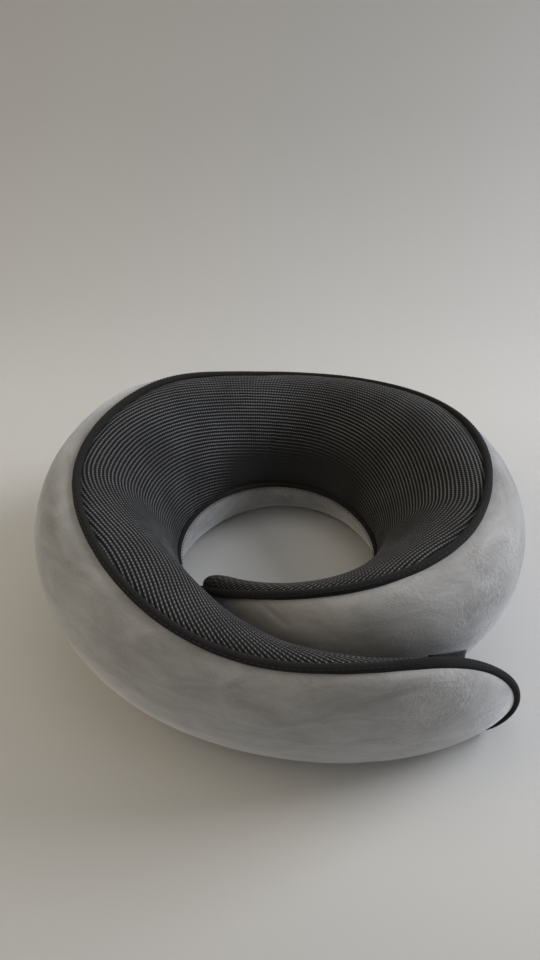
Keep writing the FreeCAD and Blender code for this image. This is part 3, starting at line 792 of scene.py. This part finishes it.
ZIP_X, ZIP_Y, ZIP_R = zip_circle()
ZIP_Z = surface(0.0, ZIP_PHI)[2]
ZIP_OUT = facing(np.array(0.0), np.array(ZIP_PHI))
COIL_FOOT = ZIP_UP + TAPE_T + 0.05


def zip_point(across, up, turn):
    r = ZIP_R + up * ZIP_OUT[1] - across * ZIP_OUT[2]
    z = ZIP_Z + up * ZIP_OUT[2] + across * ZIP_OUT[1]
    t = np.radians(turn)
    return np.stack([ZIP_X - r * np.sin(t), ZIP_Y + r * np.cos(t), z + 0 * t], -1)


def zip_tape(side, word):
    turns = np.linspace(-ZIP_HALF, ZIP_HALF, 150)
    foot = ((COIL_GAP / 2, 0.06), (2.2, 0.0), (4.2, 0.03), (TAPE_W - 0.35, 0.0), (TAPE_W, 0.12))
    outline = foot + tuple((across, TAPE_T - up) for across, up in foot[::-1])
    u = np.array([side * o[0] for o in outline])[None, :]
    v = np.array([ZIP_UP + o[1] for o in outline])[None, :]
    rings = zip_point(u, v, turns[:, None])
    along = np.radians(turns)[:, None] * ZIP_R
    uv = np.stack([along + 0 * u, np.abs(u) + 0 * along + (v - ZIP_UP)], -1)
    ob = sweep("zip_tape_cloth_" + word, rings, uv, flip=side > 0)
    finish_piece(ob, ZIP_CLOTH)
    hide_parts("zip_tape_" + word)
    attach(ob, "back")


def zip_coil(side, word):
    """Nylon coil: a flattened helix along the tape's edge."""
    ends = ZIP_HALF - 2.0
    length = math.radians(2 * ends) * ZIP_R
    pitch = 1.35
    per = 14
    count = int(length / pitch)
    k = np.arange(count * per + 1)
    a = 2 * math.pi * k / per
    turn = -ends + 2 * ends * k / k[-1]
    wire = 0.34
    mid_u, half_u = side * (COIL_GAP / 2 + COIL_W / 2), COIL_W / 2 - wire
    mid_v, half_v = COIL_FOOT + COIL_H / 2, COIL_H / 2 - wire
    centre = zip_point(mid_u + side * half_u * np.cos(a), mid_v + half_v * np.sin(a), turn)
    ahead = unit(np.gradient(centre, axis=0))
    axis = unit(np.gradient(zip_point(mid_u, mid_v, turn), axis=0))
    one = unit(np.cross(ahead, axis))
    two = np.cross(ahead, one)
    b = np.linspace(0, 2 * math.pi, 6, endpoint=False)
    ring = one[:, None] * np.cos(b)[None, :, None] + two[:, None] * np.sin(b)[None, :, None]
    rings = centre[:, None] + wire * ring
    ob = sweep("zip_coil_nylon_" + word, rings, None, flip=False)
    finish_piece(ob, NYLON)
    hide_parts("zip_coil_" + word)
    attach(ob, "back")


# ---------------------------------------------------------------- pads and label

def pad(name, node, body, theta_range, phi_range, thick, material, slot_name, top=None):
    """A pad with rounded corners that follows the cover, and may stand up free to a height."""
    thetas = np.linspace(*theta_range, 26)
    phis = np.linspace(*phi_range, 40)
    theta, phi = np.meshgrid(thetas, phis, indexing="ij")
    mid_t, mid_p = np.mean(theta_range), np.mean(phi_range)
    half_t, half_p = abs(thetas[-1] - thetas[0]) / 2, abs(phis[-1] - phis[0]) / 2
    wide = half_t * math.radians(1) * float(radius_at(mid_t))
    x, y = (theta - mid_t) / half_t, (phi - mid_p) / half_p
    corner = np.sqrt(np.clip(1 - 0.06 * (np.abs(x) ** 8) * (np.abs(y) ** 8) * 2, 0, 1))
    theta, phi = mid_t + half_t * x * corner, mid_p + half_p * y * corner
    foot, n = surface(theta, phi), facing(theta, phi)
    if top:
        rise = np.linspace(1, 0, 15)[None, :-1, None]
        extra = np.repeat(foot[:, :1], 14, 1)
        ends = np.linspace(*top, 26)[:, None] - 0.8 * np.linspace(-1, 1, 26)[:, None] ** 6
        extra[..., 2] += (ends - foot[:, :1, 2]) * rise[..., 0]
        level = -np.append(outward(thetas), np.zeros((26, 1)), 1)[:, None]
        straight = np.sqrt(rise)
        n = np.concatenate([unit(level * straight + n[:, :1] * (1 - straight)), n], 1)
        foot = np.concatenate([extra, foot], 1)
    rows, cols = foot.shape[:2]
    i, j = np.meshgrid(np.linspace(-1, 1, rows), np.linspace(-1, 1, cols), indexing="ij")
    brim = np.clip((1 - np.maximum(np.abs(i), np.abs(j))) / 0.12, 0, 1)
    high = thick * (0.55 + 0.45 * np.sqrt(1 - (1 - brim) ** 2))
    outer = foot + n * (PATCH_UP + high)[..., None]
    inner = foot + n * PATCH_UP
    uv = np.stack([(i + 1) * wide, arcs(foot)], -1)
    ob = shell(name, outer, inner, uv, False)
    finish_piece(ob, material)
    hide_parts(node)
    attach(ob, body)
    return outer, n


def pad_border(name, body, outer, n, inset):
    """Stitches round a pad, inset by a number of grid rows."""
    rows, cols = outer.shape[:2]
    i = [(r, inset) for r in range(inset, rows - inset)]
    i += [(rows - 1 - inset, c) for c in range(inset, cols - inset)]
    i += [(r, cols - 1 - inset) for r in range(rows - 1 - inset, inset - 1, -1)]
    i += [(inset, c) for c in range(cols - 1 - inset, inset - 1, -1)]
    index = np.array(i)
    p, q, t = resample(outer[index[:, 0], index[:, 1]], n[index[:, 0], index[:, 1]], 0.3)
    ahead = unit(np.gradient(p, axis=0))
    across = unit(np.cross(q, ahead))
    step = 8
    starts = np.arange(0, len(t) - 7, step)
    at = starts[:, None] + np.arange(6)[None]
    lift = (0.02 + 0.12 * np.sin(np.linspace(0, math.pi, 6)))[None, :, None]
    ob = thread(name, p[at] + q[at] * lift, q[at], across[at], 0.16)
    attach(ob, body)


# ---------------------------------------------------------------- the object

for half in SIDES:
    velour(half)
    mesh_panel(half)
    foam(half)
    binding(half)
    stitches(half)
for sign, word in ((1, "upper"), (-1, "lower")):
    zip_tape(sign, word)
    zip_coil(sign, word)
for node in ("zip_slider", "zip_pull", "zip_stop_closed", "zip_stop_open"):
    finish_piece(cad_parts[node], LACQUER)
HOOK_PLACE = HOOK_THETA, HOOK_PHI, HOOK_T
hook = pad("hook_pad", "hook_patch", "arm_outer", *HOOK_PLACE, HOOKS, "hook_and_loop", HOOK_TOP)
pad_border("hook_pad_stitches", "arm_outer", *hook, 2)
LOOP_PLACE = LOOP_THETA, LOOP_PHI, LOOP_T
loop = pad("loop_pad", "loop_patch", "arm_inner", *LOOP_PLACE, LOOPS, "hook_and_loop")
pad_border("loop_pad_stitches", "arm_inner", *loop, 2)
pad("label_ribbon", "care_label", "back", LABEL_THETA, LABEL_PHI, LABEL_T, RIBBON, "label")


# ---------------------------------------------------------------- floor, light and camera

def stage():
    """A pale paper sweep: floor in front, rising behind, with painted shade that darkens it up the back wall
    and towards the front.
    """
    rise = np.linspace(0, math.pi / 2, 24)[1:]
    ys = np.concatenate([np.linspace(-3200, 420, 20), 420 + 420 * np.sin(rise)])
    zs = np.concatenate([np.zeros(20), 420 - 420 * np.cos(rise)])
    ys, zs = np.append(ys, 840), np.append(zs, 3200)
    xs = np.linspace(-2600, 2600, 9)
    points = np.stack(np.broadcast_arrays(xs[None], ys[:, None], zs[:, None]), -1)
    ob = make("floor", points, [grid_faces(len(ys), len(xs), flip=True)])
    mat, nt, bsdf = node_tree("paper")
    tone = noise(nt, 3.0, 2.0, 0.5)
    place = put(nt, "ShaderNodeSeparateXYZ", {0: put(nt, "ShaderNodeTexCoord").outputs["Object"]})
    pale = mix(nt, tone, rgb(0.535, 0.53, 0.515), rgb(0.565, 0.56, 0.545))
    # painted shade: the paper turns to the darker deep colour up the back wall and towards the front,
    # standing in for the light falling off there
    deep = mix(nt, tone, rgb(0.375, 0.37, 0.36), rgb(0.40, 0.395, 0.385))
    behind, before = span(nt, place.outputs[1], 0.25, 0.75), span(nt, place.outputs[1], -0.15, -0.34)
    painted_shade_share = calc(nt, "ADD", behind, before)
    nt.links.new(mix(nt, painted_shade_share, pale, deep), bsdf.inputs["Base Color"])
    bsdf.inputs["Roughness"].default_value = 0.75
    ob.data.materials.append(mat)


def lamp(name, place, target, size, power, colour):
    light = bpy.data.lights.new(name, "AREA")
    light.shape = "RECTANGLE"
    light.size, light.size_y = size
    light.energy = power
    light.color = colour
    ob = bpy.data.objects.new(name, light)
    ob.location = place
    ob.rotation_mode = "QUATERNION"
    ob.rotation_quaternion = (Vector(target) - Vector(place)).to_track_quat("-Z", "Y")
    bpy.context.scene.collection.objects.link(ob)


def light_scene():
    world = bpy.data.worlds.new("room")
    bpy.context.scene.world = world
    world.use_nodes = True
    back = world.node_tree.nodes["Background"]
    back.inputs[0].default_value = rgb(0.95, 0.97, 1.0)
    back.inputs[1].default_value = 0.27
    lamp("window_right", (1.5, 0.66, 0.95), (0.05, 0.0, 0.05), (1.4, 1.2), 53.0, (0.90, 0.93, 1.0))
    lamp("room_left", (-1.4, -0.2, 1.1), (-0.1, 0.0, 0.05), (1.2, 1.2), 9.0, (1.0, 0.82, 0.52))
    lamp("overhead", (0.1, 0.2, 2.1), (0.0, 0.0, 0.0), (1.6, 1.4), 5.5, (1.0, 0.97, 0.92))
    lamp("front_fill", (0.1, -1.6, 1.2), (0.0, 0.0, 0.0), (1.6, 0.9), 2.6, (1.0, 0.94, 0.84))


def camera():
    pitch, yaw = 0.6282, -0.0558
    data = bpy.data.cameras.new("view")
    data.sensor_width = 36.0
    data.lens = 786.56 * 36.0 / 960.0
    data.clip_start, data.clip_end = 0.01, 20.0
    ob = bpy.data.objects.new("view", data)
    ob.location = ((8.69 + CENTRE_X) * MM, (-384.66 + CENTRE_Y) * MM, 377.6 * MM)
    forward = Vector((math.cos(pitch) * math.sin(yaw), math.cos(pitch) * math.cos(yaw), -math.sin(pitch)))
    ob.rotation_mode = "QUATERNION"
    ob.rotation_quaternion = forward.to_track_quat("-Z", "Y")
    bpy.context.scene.collection.objects.link(ob)
    bpy.context.scene.camera = ob


stage()
light_scene()
camera()
bpy.context.scene.view_settings.view_transform = "Standard"
